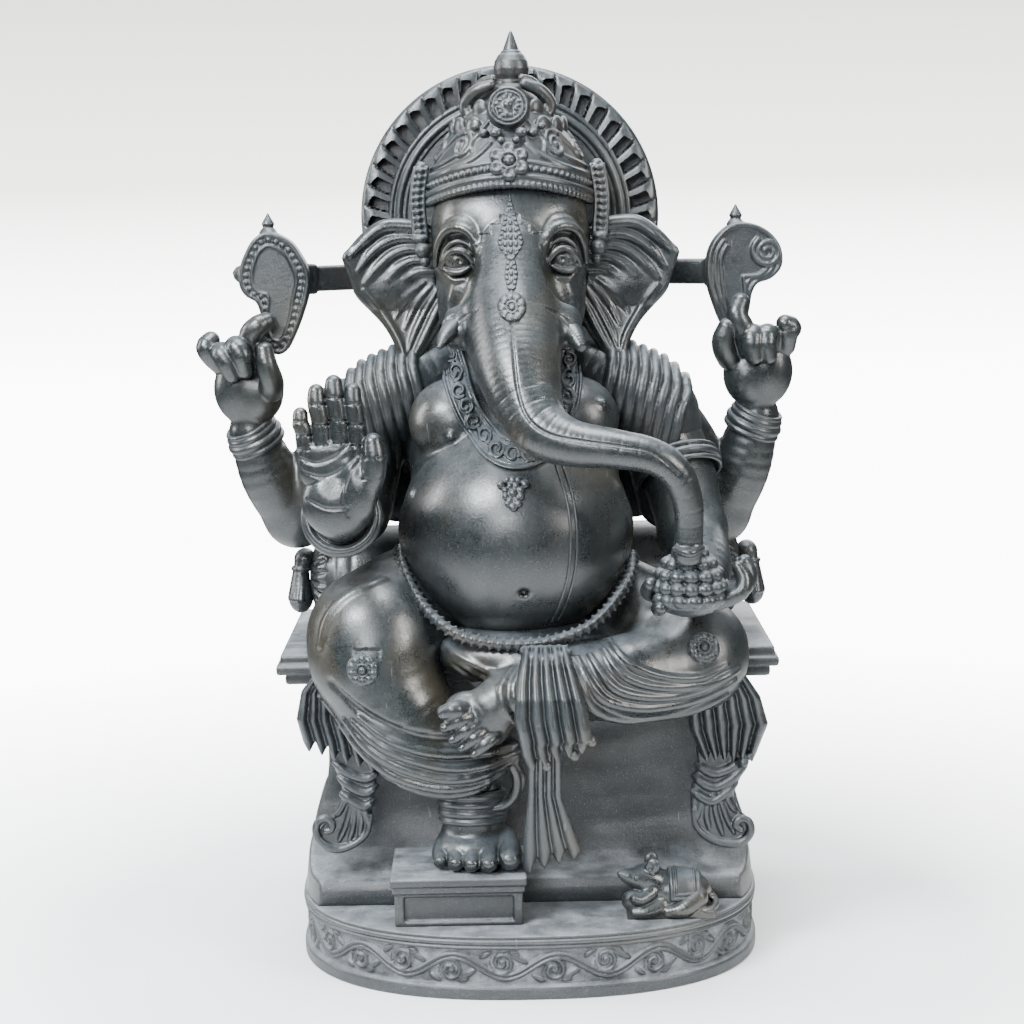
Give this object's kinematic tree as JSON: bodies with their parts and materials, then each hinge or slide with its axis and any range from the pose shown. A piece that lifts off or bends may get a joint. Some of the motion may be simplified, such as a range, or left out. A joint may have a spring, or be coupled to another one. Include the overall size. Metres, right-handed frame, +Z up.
{
  "type": "seated elephant-headed idol",
  "caption": "Seated elephant-headed devotional figure with a halo, on a throne and footstool over an oval plinth; stands on its flat underside.",
  "frame": {"origin": "centre of the plinth's flat underside", "axes": "+Z up; -Y is the direction the figure faces; +X is towards the figure's own left side. Left and right in node names are the figure's own."},
  "size_m": [0.5694, 0.455, 0.905],
  "materials": {
    "polished_stone": "hand-polished dark stone, oiled, soft semi-gloss with fine grain and faint scratches",
    "carved_stone": "carved dark stone, semi-matt, pale dust and lime in the cuts, rubbed dark on the high edges",
    "base_stone": "tooled dark stone, matt to satin, pale grey-blue dust on upward faces",
    "dowel_steel": "plain drawn steel bar, hidden in the joints"
  },
  "bodies": {
    "root": {"neck_dowel": "dowel_steel", "halo_dowel": "dowel_steel", "plinth_dowel_right": "dowel_steel", "plinth_dowel_left": "dowel_steel", "seat_dowel_right": "dowel_steel", "seat_dowel_left": "dowel_steel", "forehead_ornament": "carved_stone", "crown_rosette": "carved_stone", "knee_rosette_right": "carved_stone", "knee_rosette_left": "carved_stone", "pendant": "carved_stone", "sacred_thread": "carved_stone", "tusk_right": "polished_stone", "tusk_left": "polished_stone", "trunk": "polished_stone", "bead_string_right": "carved_stone", "bead_string_left": "carved_stone", "crown": "carved_stone", "finial": "carved_stone", "necklace": "carved_stone", "waist_belt": "carved_stone", "emblem_right": "carved_stone", "emblem_left": "carved_stone", "sweets_bowl": "carved_stone", "raised_arm": "polished_stone", "bowl_arm": "polished_stone", "wrist_ring": "carved_stone", "armlet": "carved_stone", "centre_sash": "carved_stone", "folded_leg": "polished_stone", "hanging_leg": "polished_stone", "anklet": "carved_stone", "shoulder_shawl_right": "carved_stone", "shoulder_shawl_left": "carved_stone", "rear_arm_right": "polished_stone", "rear_arm_left": "polished_stone", "rear_bracelet_right": "carved_stone", "rear_bracelet_left": "carved_stone", "side_drape_right": "carved_stone", "side_drape_left": "carved_stone", "ear_right": "polished_stone", "ear_left": "polished_stone", "head": "polished_stone", "torso": "polished_stone", "halo_ring": "carved_stone", "strut_right": "carved_stone", "strut_left": "carved_stone", "halo": "carved_stone", "bolster_tassel_right": "carved_stone", "bolster_tassel_left": "carved_stone", "bolster": "polished_stone", "seat_slab": "base_stone", "saddle_cloth": "carved_stone", "mouse": "polished_stone", "footstool_top": "base_stone", "footstool_body": "base_stone", "pedestal": "base_stone", "plinth": "base_stone"}
  },
  "joints": []
}
